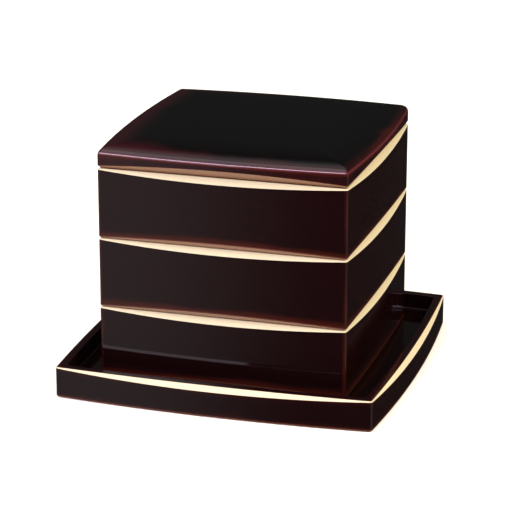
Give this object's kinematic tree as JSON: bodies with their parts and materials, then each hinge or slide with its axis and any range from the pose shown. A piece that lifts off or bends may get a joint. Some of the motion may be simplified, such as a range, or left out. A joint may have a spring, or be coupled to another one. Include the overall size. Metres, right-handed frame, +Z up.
{
  "type": "lacquered stacking food box with tray",
  "caption": "Square stacking box in dark lacquered wood with bowed sides, sloping gilded edges, a crowned lift-off lid and a low tray to stand in.",
  "frame": {"origin": "middle of the tray's underside, on the surface that the part stands on", "axes": "+Z up through the stack, -Y the front, +X to the right seen from the front"},
  "size_m": [0.2628, 0.2628, 0.1973],
  "materials": {
    "tray_lacquer": "dark translucent brown lacquer over wood, polished, with a gilded rim",
    "tier_lacquer": "dark translucent brown lacquer over wood, polished, with a gilded sloping edge round the mouth",
    "lid_lacquer": "dark translucent brown lacquer over wood, polished, a little thinner and redder at the edges"
  },
  "bodies": {
    "root": {"tray": "tray_lacquer", "tier_bottom": "tier_lacquer", "tier_middle": "tier_lacquer", "tier_top": "tier_lacquer", "lid": "lid_lacquer"}
  },
  "joints": []
}
